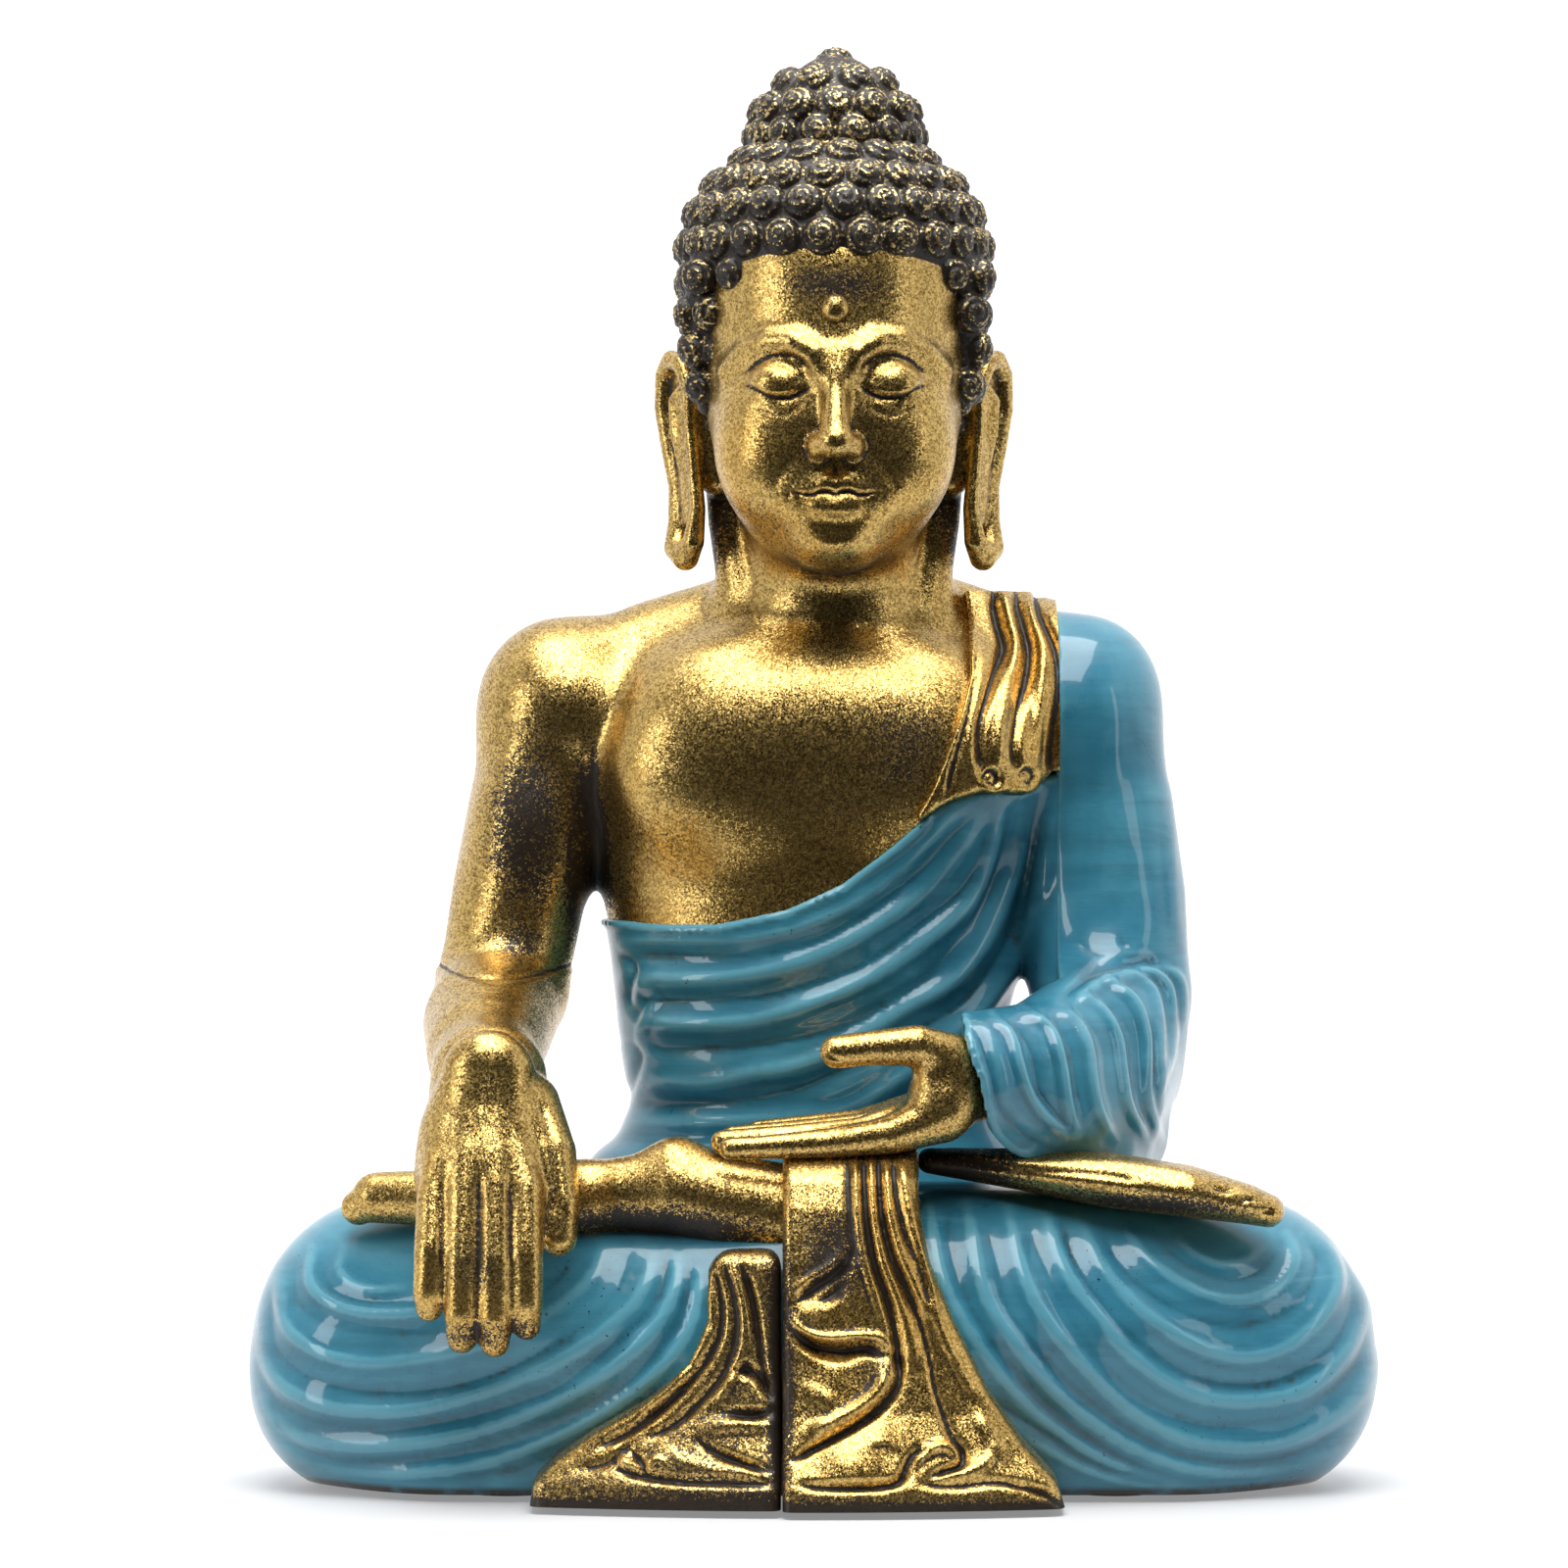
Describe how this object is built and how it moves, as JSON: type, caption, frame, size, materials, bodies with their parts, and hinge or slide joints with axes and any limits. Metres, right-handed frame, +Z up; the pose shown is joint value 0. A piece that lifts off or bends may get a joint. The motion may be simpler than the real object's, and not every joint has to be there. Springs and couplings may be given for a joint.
{
  "type": "seated buddha statue",
  "caption": "Seated cross-legged robed figure, one hand reaching down over the knee and the other open in the lap, as a decorative cast statue standing on felt pads.",
  "frame": {"origin": "on the ground under the centre of the statue's bounding box", "axes": "+Z up, the figure faces -Y, and +X is the figure's left"},
  "size_m": [0.2336, 0.1552, 0.2998],
  "materials": {
    "teal_enamel": "teal gloss enamel over cast resin, dark wash in the folds",
    "antique_gold": "metallic gold flake paint with a brown-black antique wash under clear lacquer, over cast resin",
    "dark_gold": "near-black brown paint dry-brushed with gold, over cast resin",
    "board": "plain brown hardboard",
    "felt": "black felt",
    "pin_steel": "plain wire rod, hidden in the joints"
  },
  "bodies": {
    "root": {"crossed_legs": "teal_enamel", "robed_torso": "teal_enamel", "left_sleeve": "teal_enamel", "chest_and_neck": "antique_gold", "shoulder_stole": "antique_gold", "right_upper_arm": "antique_gold", "right_forearm_and_hand": "antique_gold", "left_hand": "antique_gold", "left_foot": "antique_gold", "right_foot": "antique_gold", "front_drape_left": "antique_gold", "front_drape_right": "antique_gold", "head": "antique_gold", "forehead_bead": "antique_gold", "hair_cap": "dark_gold", "base_board": "board", "felt_pad_front_right": "felt", "felt_pad_front_left": "felt", "felt_pad_rear_right": "felt", "felt_pad_rear_left": "felt", "torso_pin_right": "pin_steel", "torso_pin_left": "pin_steel", "neck_pin": "pin_steel", "right_shoulder_pin": "pin_steel", "left_shoulder_pin": "pin_steel", "elbow_pin": "pin_steel", "wrist_pin": "pin_steel"}
  },
  "joints": []
}
